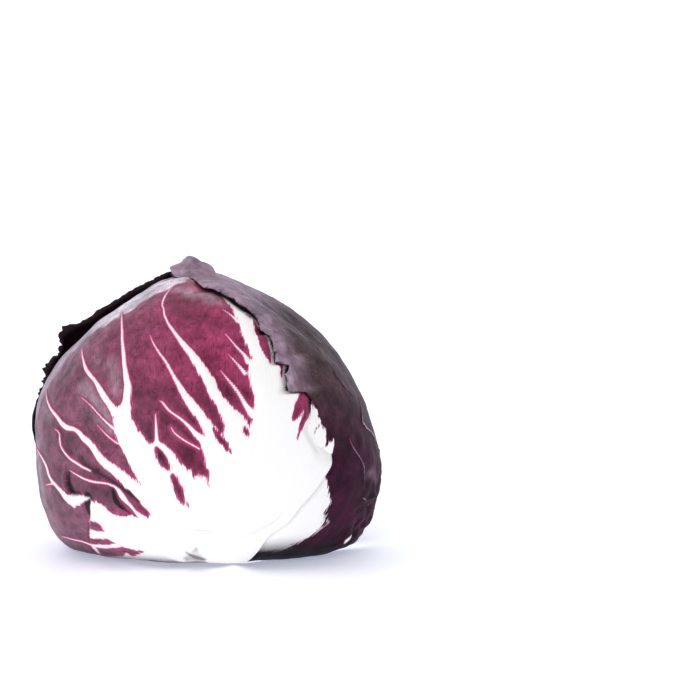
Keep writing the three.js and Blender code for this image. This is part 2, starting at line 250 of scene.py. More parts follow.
right = Leaf(
    far=(-75, 40),
    rib=(115, 0),
    left=[
        (10, -90), (30, -85), (42, -78), (50, -67), (54, -57), (58, -51.5), (62, -52), (66, -54),
        (70, -52.8), (73.5, -51.2), (76.3, -52), (77.4, -55), (78.4, -57.4), (80.5, -57.6), (84, -55.6),
        (86, -53.8), (87.3, -56.4), (90.4, -55), (93.7, -54), (96, -52.6), (98, -53.6), (100.4, -51.2),
        (104.7, -50), (107.7, -50.2), (110, -48.9), (113, -48.1), (116, -47.2), (120, -46), (126, -43),
        (130, -37), (134, -32),
    ],
    right=[(10, 80), (30, 65), (67, 50), (92, 40), (108, 22), (122, 2), (134, -8)],
    tip=(137, 11, 9),
    ragged=(0.4, 0, 66),
    curls=[
        ((-48, 112), 16, 9, 1.6),
        ((-55, 86), 14, 8, 1.8),
    ],
    swells=[((-11, 49), 13, -2.4)],
)

back = Leaf(
    far=(40, 40),
    rib=(-140, 0),
    left=[(10, -70), (25, -50), (40, -44), (58, -38), (80, -33), (101, -22), (114, -12)],
    right=[
        (10, 60), (24, 28), (33, 17), (41, 15), (50, 20), (60, 26), (68, 29), (76, 28.5),
        (82, 27), (88, 22), (94, 15.5), (101, 12.5), (108, 10.5), (114, 8),
    ],
    tip=(114, 14, 2),
    ragged=(1.2, 1.2, 44),
    curls=[((15, 38), 13, 14, 1.3)],
)


def right_over_front(d):
    height = np.arcsin(np.clip(d[:, 2], -1, 1)) / DEG
    return ramp(height, *CROSSING)


def covered(leaf, d):
    """How far other leaves have pressed this one down: 0 open, 1 for each leaf over it."""
    def by(other):
        inside = other.inside(d)
        return mix(ramp(inside, 0, TUCK_LENGTH), ramp(inside, -TUCK_START, 0), TUCK_AT_EDGE)

    if leaf is back:
        return np.zeros(len(d))
    over = right_over_front(d)
    if leaf is right:
        return by(back) + (1 - over) * by(front)
    return by(back) + over * by(right)


# The back leaf's margin stands out by (reach, mm out), which draws the teeth of the left outline; painted
# shade near the margin makes them dark.
BACK_FRILL = [
    (58, -1), (62, -0.6), (65, 0.9), (68, 2), (71, 1.3), (73, 0.9), (76, 1.2), (78, 2.2), (79.5, 3.8),
    (81, 2.6), (83, 3.2), (85, 6), (86.6, 7.8), (88, 5.6), (89.6, 4), (92, 3.8), (95, 3), (98, 2.8),
    (101, 2.4), (104, 2), (107, 2.2), (108.5, 1.6), (110, 0), (114, -1.5),
]
BACK_FRILL_DEPTH = 9
# The right leaf's tip stands up in a lobe, by (reach, mm out) between two turns.
LOBE = [(122.8, 0), (124.2, 3.2), (127, 4.6), (130, 6.8), (132, 5.2), (134, 4.4), (138, 4)]
LOBE_LEFT = (-29, -17)
LOBE_RIGHT = (8, -4)
# Low down the right leaf's margin lies flat on the front leaf.
FOOT_PRESS = 1.1
FOOT_PRESS_LENGTH = 7


def lift(leaf, d):
    """How far out of the ball the face of a leaf lies, in mm, without its relief."""
    out = -PITCH * covered(leaf, d)
    edge = leaf.inside(d)
    for (turn, reach), spread, depth, rise in leaf.curls:
        out = out + rise * leaf.soft_spot(d, turn, reach, spread) * ramp(edge, depth, 0)
    for (turn, reach), spread, rise in leaf.swells:
        out = out + rise * leaf.soft_spot(d, turn, reach, spread)
    turn, reach, _, _ = leaf.read(d)
    if leaf is back:
        teeth = waves(FRILL_TEETH, reach) * ramp(reach, 70, 76) * mix(1, 0.3, ramp(reach, 86, 90))
        rise = along(BACK_FRILL, reach) + teeth * ramp(reach, *FRILL_TOP)
        out = out + rise * ramp(edge, BACK_FRILL_DEPTH, 0) * (turn > 0)
    if leaf is right:
        turn = (turn + 180) % 360 - 180
        low_margin = ramp(reach, 48, 54) * ramp(reach, 76, 71) * (turn < 0)
        out = out - FOOT_PRESS * low_margin * ramp(edge, FOOT_PRESS_LENGTH, 0)
        out = out + along(LOBE, reach) * ramp(turn, *LOBE_LEFT) * ramp(turn, *LOBE_RIGHT)
    return out


# ---- marks on a leaf ----
# Ribs and streaks go through (turn, reach, half width in mm) stops, folds through (turn, reach, height in mm)
# stops and are raised on the right of the way they are drawn, and patches are (turn, reach) outlines.
RIB_BEND = 6  # pieces that a stretch between two stops is bent in
NEAR_RIB = 6  # beyond this far from a rib, in mm, nothing of it shows
THIN_RIB = 0.9  # half width below which a rib is drawn as a line
THIN_SIDE = 1.0  # mm on either side that know of such a line
FAR_OFF = 50.0  # mm, past anything that is drawn
FOLD_UP = 7  # mm over which the raised side of a fold sinks back
FOLD_DOWN = 2.4  # and over which its low side comes up again
FOLD_DIP = 0.5  # how deep the low side dips, as a share of the height
FOLD_EDGE = 0.35  # mm over which a fold goes from low to high, on each side of its line

FRONT_RIBS = [
    # the wide midrib, and all that is white on its right
    [(-6, 109, 0.1), (-4.5, 105, 0.9), (-2, 100.5, 1.5), (0, 96, 2.2), (1.5, 92, 2.8), (3, 88, 2.9),
     (4.5, 85, 3.1), (6, 82, 3.8), (7, 79, 5.6), (8.5, 76, 6.4), (11, 71, 7), (13, 62, 9), (14, 50, 13),
     (20, 30, 16), (26, 14, 14)],
    [(0, 100.5, 1.1), (3, 95.9, 1.9), (5.7, 88.4, 4.1), (9.6, 82.4, 6.7), (13.3, 76.7, 8.9),
     (16.8, 70.5, 11.9), (21.3, 63.2, 14.8), (23.7, 51.8, 16.7)],
    # thin ribs between the midrib and the next
    [(-5, 97.4, 0.1), (-2.8, 95.3, 0.35), (-1, 93, 0.6)],
    [(-4.2, 88.8, 0.1), (-1, 85, 0.4), (1, 83, 0.6), (2.3, 81, 0.9)],
    [(-3.2, 82.8, 0.1), (-1.2, 80.7, 0.4), (1.7, 77.6, 0.7)],
    [(-5, 78, 0.1), (-2.8, 75.5, 0.4), (0, 72.6, 0.6), (3, 69, 0.8), (5.4, 67, 1.5)],
    # the second rib, long and forked
    [(-20, 110, 0.1), (-21.6, 102.4, 0.3), (-21, 98, 0.3), (-20, 94, 0.4), (-18, 90, 0.55), (-15.5, 86, 0.8),
     (-13.3, 83, 1.1), (-10.6, 79, 1.5), (-8, 75, 1.7), (-6.2, 71.5, 1.9), (-3.4, 68, 2), (-1, 65.3, 3),
     (2, 60, 5), (6, 48, 8)],
    [(-24.2, 89.3, 0.1), (-22.4, 85, 0.35), (-19.8, 80.7, 0.5), (-18.2, 77.5, 0.6), (-15.8, 73, 0.9),
     (-13.6, 69.6, 1.3), (-10.4, 65.7, 1.6), (-8.2, 62.7, 1.9), (-6.2, 59.7, 2.6), (-3, 55, 4), (2, 45, 7)],
    [(-22, 70.2, 0.1), (-21, 69.3, 0.4), (-19.4, 67.2, 0.35), (-16.5, 65, 0.4), (-14, 62.8, 0.6),
     (-11.4, 60.2, 0.9), (-8.5, 58, 1.5), (-5, 54, 2.5)],
    [(-19.5, 62.8, 0.1), (-17, 59.8, 0.25), (-10.5, 56.2, 0.25)],
    [(-23.7, 67, 0.1), (-24, 63.5, 0.4), (-24.4, 60.5, 0.6), (-24.4, 58.8, 0.8), (-22.7, 57.2, 1.1),
     (-20.4, 54, 1.5), (-18, 50.4, 1.7), (-15, 47, 2.2), (-12.8, 44, 3), (-8, 38, 6), (0, 28, 9)],
    [(-24.7, 59, 0.7), (-27.5, 57.5, 0.9)],
    # the third, with the ribs of the left side
    [(-34.5, 102, 0.1), (-32.7, 95, 0.4), (-32, 90, 0.5), (-31.5, 85.7, 0.65), (-31.3, 81.8, 0.75),
     (-31, 78, 0.95), (-31, 74.6, 1.25), (-32, 71, 1.7), (-32.7, 69, 2.2)],
    [(-34, 68.6, 3), (-34.2, 65.8, 3.7), (-33.7, 63, 4.1), (-32.8, 60, 4.5), (-31, 56.4, 5.2), (-27, 49, 6.5),
     (-22, 40, 8), (-10, 26, 10)],
    [(-47, 93.5, 0.1), (-45.2, 88, 0.5), (-43.4, 83.7, 0.7), (-41, 80, 0.7), (-39.3, 76, 1),
     (-37.6, 72.6, 1.1), (-36.2, 69.7, 1.5)],
    [(-47, 77.5, 0.1), (-43.8, 73.7, 0.3), (-42, 71, 0.3), (-39.3, 67.4, 0.4), (-37.3, 65, 0.5)],
    [(-43, 68, 0.1), (-39.5, 63, 0.25), (-36.7, 60.4, 0.3)],
    [(-66, 90, 0.1), (-62.7, 83, 0.5), (-59, 77, 0.7), (-56, 72.3, 0.9), (-52, 69.7, 0.7), (-49.4, 66, 1),
     (-47, 63, 1.1), (-45.2, 58.5, 1.3), (-42.9, 55.5, 1.5), (-40.3, 52.4, 1.7), (-37.8, 49, 2),
     (-35.2, 45.6, 2.6), (-32.7, 41.9, 3.3), (-28, 36, 5)],
    # the lower left
    [(-62, 74.4, 0.1), (-60, 72, 0.3), (-60.6, 70, 0.4), (-60, 65.8, 0.4), (-56, 60.7, 0.5),
     (-51.7, 57, 0.4)],
    [(-61.5, 60.9, 0.1), (-58.4, 58, 0.3), (-53.8, 54.6, 0.4), (-49.2, 52.4, 0.35), (-46.4, 50.8, 0.4),
     (-44.8, 49.1, 0.6), (-44.4, 47, 0.9), (-43.9, 45.2, 0.8), (-42.8, 42.8, 0.6), (-42, 40.1, 0.7),
     (-40.3, 37.1, 1.5)],
    [(-82.2, 79.6, 0.1), (-74.4, 70.2, 0.6), (-73.6, 64.8, 0.7), (-71.8, 60.4, 0.8), (-70, 57, 1)],
    [(-80, 64.6, 0.1), (-72.4, 61.4, 0.35)],
    [(-98.2, 54.2, 0.1), (-91.7, 47.9, 0.35), (-88.3, 43.7, 0.5), (-87.9, 40.4, 0.7)],
    # hidden under the head and under the right leaf
    [(-112, 62, 0.1), (-110, 44, 0.6), (-106, 28, 1.5), (-90, 18, 3)],
    [(42, 84, 0.1), (38, 70, 0.7), (30, 56, 1.5)],
    [(30, 104, 0.1), (27, 88, 0.7), (20, 76, 1.4)],
]

# White between the ribs, with corners: the base on the right of the seam, and the triangle above it.
FRONT_WHITE = [
    [(-58.5, 50), (-55.7, 47.8), (-54.1, 46), (-53.1, 42.8), (-51.6, 41.4), (-49.6, 40.5), (-45.5, 40),
     (-43.2, 38.3), (-40, 36.8), (-36, 38), (-31, 40), (0, 30), (0, 12), (-75.8, 22), (-96.4, 31),
     (-96.3, 35.9), (-90.3, 41.5)],
    [(-10.1, 57.7), (-8.7, 54.5), (-8.3, 51.9), (-6.8, 49.9), (-7.2, 46.3), (-8.7, 48.4), (-9.8, 47.2),
     (-11.3, 49), (-13, 47.5), (-14.3, 50.2), (-17, 46), (-14, 40), (-4, 40), (0, 50), (-5, 58)],
    [(-70.9, 59.6), (-69, 57), (-68, 55.3), (-62.7, 53.1), (-58.4, 50.4), (-61.8, 50.6), (-66.2, 51.1),
     (-69.9, 51.3), (-70.6, 52.9), (-71.8, 55), (-72.2, 57.9)],
]

# Blade colour left between the ribs, as short streaks and as patches.
FRONT_ISLANDS = [
    [(-6, 62, 0.6), (-4.3, 59.8, 1.1), (-2, 57.7, 1.1), (0.2, 55.6, 0.3)],
    [(3, 63.2, 0.4), (4, 62, 1.1), (5, 60.4, 0.4)],
    [(-25.3, 57.8, 0.4), (-24.6, 56.3, 1.3), (-23.4, 53.5, 1.7), (-21.8, 50.7, 0.4)],
    [(-21, 49, 0.7), (-20, 46.3, 1.7), (-19, 43.2, 1.5), (-18.3, 40, 0.4)],
    [(-17, 41, 0.2), (-16.5, 39.8, 0.4), (-16.2, 39, 0.1)],
    [(-8.6, 47.2, 0.3), (-7, 45.7, 0.3)],
    # beside the right leaf's margin
    [(1.8, 97.4, 0.5), (2.2, 96.2, 0.7), (2.4, 95, 0.1)],
    [(3.2, 95.8, 0.4), (4, 92.4, 1.1), (5, 89.8, 1.5), (6.1, 88.8, 1.4)],
    [(5.8, 87.7, 2), (6.5, 85.6, 1.9), (7.3, 83.7, 1.4), (8.3, 81.2, 0.3)],
    [(11, 84.5, 1.8), (11.3, 82, 1.3), (11.9, 78.4, 0.2)],
    [(18.6, 75.8, 0.9), (18.4, 73, 1.8), (18.1, 70.4, 1.7), (17.4, 67.4, 0.2)],
    [(20.9, 77.5, 2.6), (21.3, 74, 2.5), (21.3, 71, 1.9), (20.6, 67.9, 1.2), (20.2, 63.4, 0.2)],
    [(17.2, 72.6, 0.2), (18.6, 74.6, 0.7)],
]
FRONT_PATCHES = [
    [(-65.9, 45.7), (-63.3, 44.2), (-63, 42.2), (-65.3, 39.9), (-69.6, 41.5), (-72.1, 43.8)],
    [(-78.5, 43), (-76.7, 41), (-69.6, 37.7), (-69, 34.8), (-75.1, 36.1), (-82.3, 39.9), (-85.3, 41.9)],
    [(-85.6, 40.1), (-82.1, 37.5), (-70, 32.7), (-65.3, 28.3), (-58.4, 26.2), (-79.2, 27.6), (-76.2, 30),
     (-84.2, 30.4), (-96.9, 38)],
]

FRONT_FOLDS = [
    [(-89.7, 40.4, 0.3), (-82.4, 42.1, 1), (-71.7, 43.9, 1.6), (-64.2, 46, 2), (-59.9, 48.3, 1.8),
     (-58, 50.1, 0.3)],
    [(-63, 61.6, 0.2), (-65.3, 59.2, 1), (-66.6, 57, 1.4), (-66.7, 54.9, 1.2), (-62.9, 53, 0.2)],
    [(-38.7, 43.3, 0.2), (-40.4, 46.4, 0.9), (-42.3, 49.1, 1.2), (-44.6, 51.9, 1.2), (-47.5, 54.6, 1.2),
     (-50.8, 57.7, 1.1), (-53.7, 61, 0.8), (-54.9, 64, 0.2)],
    # creases in the white base
    [(-1.1, 27.3, 0.05), (-5.6, 30.1, 0.7), (-11.7, 30.7, 0.8), (-20.4, 31.7, 0.5), (-35.8, 35.5, 0.05)],
    [(2, 37, 0.05), (-9, 34.5, 0.4), (-22, 35.5, 0.4), (-31, 33.5, 0.05)],
    [(34, 45.7, 0.05), (33.7, 41, 0.6), (34.3, 36.4, 0.05)],
    [(27, 44, 0.05), (24, 36, 0.5), (12, 27, 0.05)],
]

# Painted shade in the crooks beside the folds and ribs, and a painted shadow under the right leaf's margin.
FRONT_SHADE = [
    [(-59, 50.8, 2), (-61, 49.8, 1.9), (-64, 48.2, 1.3), (-67, 46.2, 0.3)],
    [(-62, 60.4, 0.5), (-64.3, 58.7, 0.8), (-65.6, 56.6, 1.1), (-64.8, 54.6, 1), (-62, 53.4, 0.5)],
    [(-54.5, 62.9, 0.2), (-52.5, 59.7, 0.5), (-49.6, 56.5, 0.7), (-46.7, 53.7, 0.7), (-44, 50.8, 0.7),
     (-41.9, 48.3, 0.7), (-39.6, 46.2, 1.1), (-38.2, 43.9, 0.9)],
    [(-46.6, 49.3, 0.4), (-47.6, 47, 0.9), (-47.6, 44.6, 0.9), (-46.6, 42.5, 0.5), (-45.3, 40.9, 0.2)],
    [(22.4, 77, 1.5), (22.8, 74, 1.3), (23, 71.8, 0.6)],
    [(5.5, 93.4, 0.7), (6, 90.9, 0.7), (7.4, 89.9, 0.9)],
]
# Soft painted shade along the folds of the lower left, darkening the blade there.
FRONT_DEEP = [
    [(-57, 64, 0.6), (-50.5, 58.5, 1.6), (-46.5, 53.5, 2), (-42, 48, 1.6), (-39, 44.5, 0.8)],
    [(-64, 58, 0.6), (-63.5, 54.5, 1.2), (-57, 51.5, 1)],
    [(-48, 49, 0.5), (-47.5, 45.5, 1.2), (-45, 41.5, 0.5)],
    [(-60, 49, 1.2), (-63, 47, 1.6), (-67, 45, 1)],
]

# Painted sheen, with grey wax: a grey-lilac sheen on the left flank and the crown, the waxy rim where the
# leaf turns away, and paler sheen patches on the blade between ribs.
FRONT_SHEEN = [
    [(-79, 78, 1.1), (-80.2, 75.5, 2.1), (-82.3, 70.5, 2.6), (-86, 66, 2.2), (-88, 63, 1)],
    [(-18, 107, 1.6), (-12, 103.5, 2.8), (-6, 102, 2.8), (0, 102, 1.4)],
]
FRONT_SHEEN_RIM = [
    [(-70, 86), (-67.4, 88.6), (-61.7, 90), (-57, 94.4), (-47.9, 97.6), (-38.4, 98.6), (-32, 100.6),
     (-29, 103.8), (-24.4, 106), (-21.3, 109), (-19.2, 111), (-17, 113.5), (-10, 122), (-5, 146),
     (-70, 146), (-105, 118), (-110, 90), (-82, 84)],
]
FRONT_PALE_SHEEN = [
    [(-45, 80, 1.5), (-41, 71, 3), (-37, 62, 2)],
    [(-39, 86, 1.5), (-36, 81, 2), (-34.5, 76, 1)],
    [(-66, 84, 0.8), (-63, 80, 0.8)],
]
# The foot of the leaf, painted grey as shade where it turns under, and the scars of its cut.
FRONT_FOOT = [[(-15.9, 23), (-24.4, 20), (-36.6, 17), (-46, 11), (-15, 9), (-9.5, 15.5)]]
FRONT_SCAR = [
    [(-50, 10, 0.7), (-23.8, 12.2, 1.5), (-6.8, 10.5, 0.7)],
    [(-27, 20.5, 0.1), (-25.5, 18.5, 0.8), (-21, 16.6, 1.5), (-12, 14.6, 1)],
]

RIGHT_RIBS = [
    [(0, 14, 8), (0, 30, 6), (0, 45, 4), (-1, 60, 2.6), (-1, 75, 1.4), (0, 92, 0.6), (-2, 104, 0.05)],
    [(-27, 72.4, 0.1), (-29.5, 68.2, 0.4), (-28.7, 66, 0.5), (-23.6, 64.8, 0.5), (-14, 63, 0.5),
     (-6, 62, 0.05)],
    [(-38.3, 63.2, 0.1), (-36.9, 60.8, 0.35), (-31, 57.3, 0.4), (-29.9, 54.3, 0.4), (-26.9, 51.2, 0.05)],
    [(-28, 50.3, 0.1), (-24.4, 50.3, 0.5), (-20.4, 50.4, 0.05)],
    [(-38.1, 80.4, 0.1), (-37.1, 76.5, 0.25), (-32.8, 72.5, 0.05)],
    [(-20.4, 39.6, 0.1), (-21.6, 41.2, 1.2), (-22.4, 43, 0.1)],
    [(2, 40, 2.4), (14, 52, 1.4), (22, 66, 0.8), (26, 84, 0.05)],
    [(0, 58, 1.8), (10, 72, 1.1), (14, 90, 0.6), (12, 104, 0.05)],
    [(14, 20, 4), (30, 36, 1.6), (38, 50, 0.9), (42, 64, 0.05)],
    [(4, 78, 0.8), (6, 90, 0.5), (2, 106, 0.05)],
]

# The white foot of the right leaf, left of its feathered border.
RIGHT_WHITE = [
    [(-51.6, 73.8), (-51.5, 71.8), (-49.9, 71.2), (-49.8, 70.4), (-50.8, 69.5), (-50, 68.3), (-51.8, 66.5),
     (-52.7, 64.7), (-50.7, 66.3), (-49.5, 66.7), (-48.6, 65.5), (-48.4, 62.9), (-48.9, 60.9), (-47.3, 61.8),
     (-45.7, 62.7), (-45.3, 61), (-45.6, 59), (-46.7, 57.2), (-48.5, 55.7), (-49.1, 54.9), (-47.6, 53.6),
     (-45.9, 51.3), (-44.1, 48.8), (-42.1, 46.8), (-41.9, 45.4), (-42.8, 44.1), (-40.3, 43), (-39.3, 40.6),
     (-39.2, 37.8), (-41, 35.1), (-43.8, 32.6), (-43.8, 30.1), (-45.8, 27.9), (-57, 24.9), (-80, 20),
     (-95, 40), (-80, 62), (-59.2, 73.1)],
]
# Low down the right leaf is folded and crumpled; its crooks, its curl and the gap under it are painted dark
# as shade, and one grey painted highlight lies on it.
RIGHT_SHADE = [
    [(-60, 20, 1.5), (-52.6, 22.7, 1.6), (-33.4, 28.1, 2.4), (-24.6, 35, 2.6), (-18.1, 39.3, 2)],
    [(-16.5, 58.7, 0.6), (-15.5, 55.2, 1.4), (-19.9, 52, 1.2), (-22.2, 49.8, 0.5)],
    [(-24.6, 45.5, 0.5), (-25.4, 43.6, 0.7), (-24.4, 41, 0.7), (-22.6, 38.6, 0.5)],
    [(-18.6, 40.5, 0.5), (-19.4, 42.8, 0.8), (-22.4, 45.6, 0.5)],
]
RIGHT_FOLDS = [
    [(-31, 57, 0.1), (-28, 53, 0.9), (-25, 50, 1.4), (-21, 48, 1.4), (-17, 47, 0.6)],
    [(-24, 47, 0.1), (-22.5, 44, 1.2), (-21, 41, 1.2), (-19, 37, 0.2)],
    [(-40, 92, 0.1), (-34, 84, 0.7), (-28, 76, 0.8), (-22, 68, 0.2)],
]
RIGHT_HIGHLIGHT = [[(-26.5, 55.4, 0.2), (-23.2, 56.4, 0.4), (-20.5, 55.6, 0.2)]]
CRUMPLED = (-15, 49, 15)  # turn, reach and spread in degrees

BACK_RIBS = [
    [(1, 12, 10), (1, 24, 7), (0, 45, 4.5), (0, 75, 2.4), (0, 95, 1.1), (1, 104, 0.05)],
    [(-1, 40, 3), (-14, 56, 1.3), (-21, 72, 0.6), (-24, 86, 0.05)],
    [(-1, 62, 2.2), (-10, 78, 1.1), (-15, 90, 0.05)],
    [(1, 36, 3), (10, 52, 1.3), (17, 66, 0.05)],
    [(1, 58, 2.2), (10, 75, 1.1), (14, 84, 0.05)],
    [(-12, 18, 6), (-28, 32, 2.2), (-34, 46, 1), (-33, 58, 0.05)],
    [(-8, 50, 0.9), (-6, 66, 0.5), (-8, 72, 0.05)],
    [(6, 44, 0.9), (6, 60, 0.5), (4, 70, 0.05)],
    [(-14, 56, 0.9), (-26, 64, 0.5), (-31, 74, 0.05)],
]


def flat_fan(turn, reach):
    """A leaf's fan laid flat, with x up its midrib and y to the right."""
    r = 2 * np.tan(np.asarray(reach, float) * DEG / 2)
    a = np.asarray(turn, float) * DEG
    return np.stack([r * np.cos(a), r * np.sin(a)], -1)


class Page:
    """The points of one leaf laid flat, for drawing on it in mm."""

    def __init__(self, leaf, turn, reach, d):
        self.spots = flat_fan(turn, reach)
        self.size = 2 * leaf.scale * ball_radius(d) / (1 + (leaf.flatten(d) ** 2).sum(1))

    def stretches(self, stops, reach_mm):
        """Each short stretch of a smooth line, with the points near the line, their mm from the stretch,
        positive on its right, the line's third value there and the mm past an end of the whole line."""
        t = np.linspace(0, len(stops) - 1, (len(stops) - 1) * RIB_BEND + 1)
        turn, reach, value = (along(list(enumerate(v)), t) for v in np.array(stops, float).T)
        line = flat_fan(turn, reach)
        margin = (reach_mm + value.max()) / self.size.min()
        near = ((self.spots > line.min(0) - margin) & (self.spots < line.max(0) + margin)).all(1)
        spots, size = self.spots[near], self.size[near]
        last = len(line) - 2
        for k, (a, b) in enumerate(zip(line[:-1], line[1:])):
            step = b - a
            off = spots - a
            ahead = off @ step / (step @ step)
            share = np.clip(ahead, 0, 1)
            away = off - share[:, None] * step
            side = np.sign(step[0] * off[:, 1] - step[1] * off[:, 0])
            at_end = (ahead < 0) & (k == 0) | (ahead > 1) & (k == last)
            past = np.abs(ahead - share) * at_end * np.linalg.norm(step) * size
            away = np.hypot(away[:, 0], away[:, 1]) * size * side
            yield near, away, mix(value[k], value[k + 1], share), past

    def lines(self, drawn):
        """Signed mm to the nearest thin rib and its half width there, for ribs finer than the mesh."""
        side, half = np.full(len(self.spots), THIN_SIDE), np.full(len(self.spots), -3 * THIN_SIDE)
        for stops in drawn:
            for near, away, wide, past in self.stretches(stops, THIN_SIDE):
                # a line narrows past its ends and off to its sides, to meet the level round it
                into = wide - 2 * past - 1.2 * np.maximum(np.abs(away) - THIN_SIDE / 2, 0)
                known = half[near] - np.abs(side[near])
                better = (np.abs(away) < THIN_SIDE) & (wide < THIN_RIB) & (into - np.abs(away) > known)
                side[near] = np.where(better, away, side[near])
                half[near] = np.where(better, into, half[near])
        return side, half

    def streaks(self, drawn, blend=0.5):
        """How far inside a union of tapered streaks points lie, in mm, and how wide the streak is there."""
        depth, width = np.full(len(self.spots), -FAR_OFF), np.zeros(len(self.spots))
        for stops in drawn:
            best, wide = None, None
            for near, away, half, _ in self.stretches(stops, NEAR_RIB):
                into = half - np.abs(away)
                if best is None:
                    best, wide = into, half
                else:
                    wide = np.where(into > best, half, wide)
                    best = np.maximum(best, into)
            known = depth[near]
            width[near] = np.where(best > known, wide, width[near])
            merge = np.maximum(blend - np.abs(known - best), 0)
            depth[near] = np.maximum(known, best) + merge * merge / (4 * blend)
        return np.maximum(depth, -NEAR_RIB), width

    def patches(self, drawn):
        """How far inside a union of outlines points lie, in mm."""
        depth = np.full(len(self.spots), -FAR_OFF)
        x, y = self.spots.T
        for outline in drawn:
            corners = flat_fan(*np.array(outline, float).T)
            inside = np.zeros(len(x), bool)
            gap = np.full(len(x), FAR_OFF)
            for a, b in zip(corners, np.roll(corners, -1, 0)):
                step = b - a
                off = self.spots - a
                away = off - np.clip(off @ step / (step @ step), 0, 1)[:, None] * step
                gap = np.minimum(gap, np.hypot(away[:, 0], away[:, 1]) * self.size)
                if a[1] != b[1]:
                    inside ^= ((a[1] > y) != (b[1] > y)) & (x < a[0] + step[0] * (y - a[1]) / step[1])
            depth = np.maximum(depth, np.where(inside, gap, -gap))
        return np.maximum(depth, -NEAR_RIB)

    def folds(self, drawn):
        """The height that sharp folds add, in mm, and the shade in the crook of each, from 0 to 1."""
        height, shade = np.zeros(len(self.spots)), np.zeros(len(self.spots))
        for stops in drawn:
            side, most = None, None
            for near, away, tall, _ in self.stretches(stops, FOLD_UP * 3):
                if side is None:
                    side, most = away, tall
                else:
                    closer = np.abs(away) < np.abs(side)
                    side, most = np.where(closer, away, side), np.where(closer, tall, most)
            up = np.exp(-np.maximum(side, 0) / FOLD_UP)
            down = -FOLD_DIP * np.exp(np.minimum(side, 0) / FOLD_DOWN)
            height[near] += most * mix(down, up, ramp(side, -FOLD_EDGE, FOLD_EDGE))
            crook = ramp(side, -FOLD_DOWN, 0) * (side < 0) * np.minimum(most, 1)
            shade[near] = np.maximum(shade[near], crook)
        return height, shade


def lumps(points, size, seed):
    """Soft noise about zero, with bumps about `size` mm across."""
    shift = Vector((seed, seed * 2.3, -seed))
    return np.array([noise.noise(Vector(p) / size + shift) for p in points])


def rib_height(depth, most):
    """Crest of a rib from how deep a point is in it, rounded and never above `most` mm."""
    return most * (1 - np.exp(-np.maximum(depth + 0.3, 0) / most))


# Each relief gives the height to add in mm, and values from 0 to 1 that the materials read: tone goes from
# the blade's rosy or brown colour to its dusky one, the wax value is grey wax with painted sheen and painted
# highlights, shade is painted shade in crooks, under margins and near the table and also darkens the blade
# low down, and the scar value is the cut foot with painted grey shade on its turned-under part and in creases
# of the white. White is how far inside the white a point is, and feather how frayed that border is, in mm.
def front_relief(page, points, turn, reach, d):
    ribs, width = page.streaks(FRONT_RIBS)
    side, half = page.lines(FRONT_RIBS)
    base = page.patches(FRONT_WHITE)
    islands = np.maximum(page.streaks(FRONT_ISLANDS, 0.2)[0], page.patches(FRONT_PATCHES))
    white = np.minimum(np.maximum(ribs, base), -islands)
    steps, crook = page.folds(FRONT_FOLDS)
    shade, deep, wax_and_sheen, pale, scar = (
        page.streaks(drawn)[0] for drawn in (FRONT_SHADE, FRONT_DEEP, FRONT_SHEEN, FRONT_PALE_SHEEN, FRONT_SCAR)
    )
    above_table = points[:, 2]

    height = rib_height(ribs, 1.1) * mix(1, 0.35, ramp(reach, 60, 30)) + steps
    height += 0.6 * lumps(points, 16, 3) + 0.35 * lumps(points, 6, 8) * ramp(ribs, 1, -2)

    # The rim is a painted sheen, with grey wax, where the leaf turns away at its upper left. Its border is
    # softer and its wax thinner on the left flank, and it thins out behind the crown.
    rim_depth = page.patches(FRONT_SHEEN_RIM)
    rim = rim_depth + 0.6 + 1.6 * lumps(points, 4, 19)
    rim = smooth(rim / mix(4, 1.6, ramp(turn, -62, -38))) * mix(0.35, 1, ramp(turn, -62, -32))
    rim = rim * (0.9 + 0.5 * lumps(points, 5, 17)) * mix(1, 0.2, ramp(rim_depth, 7, 21))
    wax_and_sheen = ramp(wax_and_sheen, -3, 3) * 0.42 * smooth(0.9 + 1.2 * lumps(points, 5, 29))
    pale = ramp(pale, -5, 3) * 0.3 * smooth(0.6 + 1.2 * lumps(points, 9, 21))

    # Painted shade in the crooks, near the table on the left flank, and a painted shadow under the right
    # leaf's margin.
    shade = np.maximum(ramp(shade, -0.35, 0.25), crook) * 0.92 * ramp(white, 0.5, -0.5)
    underside_shade = ramp(above_table, 7, 1) * ramp(turn, -45, -55) * 0.85
    shadow_under_right = ramp(right.inside(d), -0.5, 0) * ramp(above_table, 54, 59)
    # The blade is also painted darker low down in the middle of the leaf.
    low = ramp(reach, 80, 62) * ramp(turn, -34, -26) * (0.85 + 0.5 * lumps(points, 6, 23))
    deep = np.maximum(low * 0.72, ramp(deep, -1.5, 2) * 0.6) * ramp(white, -0.35, -1.55)

    # The turned-under foot is painted grey as shade, patchy with noise; with the cut's scars and painted
    # shade in the creases of the white it makes the scar value.
    foot = ramp(page.patches(FRONT_FOOT), -0.6, 1.2) * (0.42 + 0.6 * lumps(points, 4, 13))
    values = {
        "rib_side": side,
        "rib_half": half - 0.22,
        "white": white - mix(0.25, 0.1, ramp(width, 0.5, 1)) * (ribs > base),
        "feather": mix(0.1, 0.9, ramp(np.maximum(width, np.where(base > ribs, 2, 0)), 0.6, 2.2)),
        "tone": ramp(turn, -6, -54) * mix(0.2, 1, ramp(reach, 39, 47)),
        "wax_and_sheen": np.maximum.reduce([rim, wax_and_sheen, pale]),
        "shade": np.maximum.reduce([shade, underside_shade, shadow_under_right, deep]),
        "scar": np.maximum.reduce([ramp(scar, -0.8, 0.8), foot, crook * 0.3 * (white > 0.5)]),
    }
    return height, values


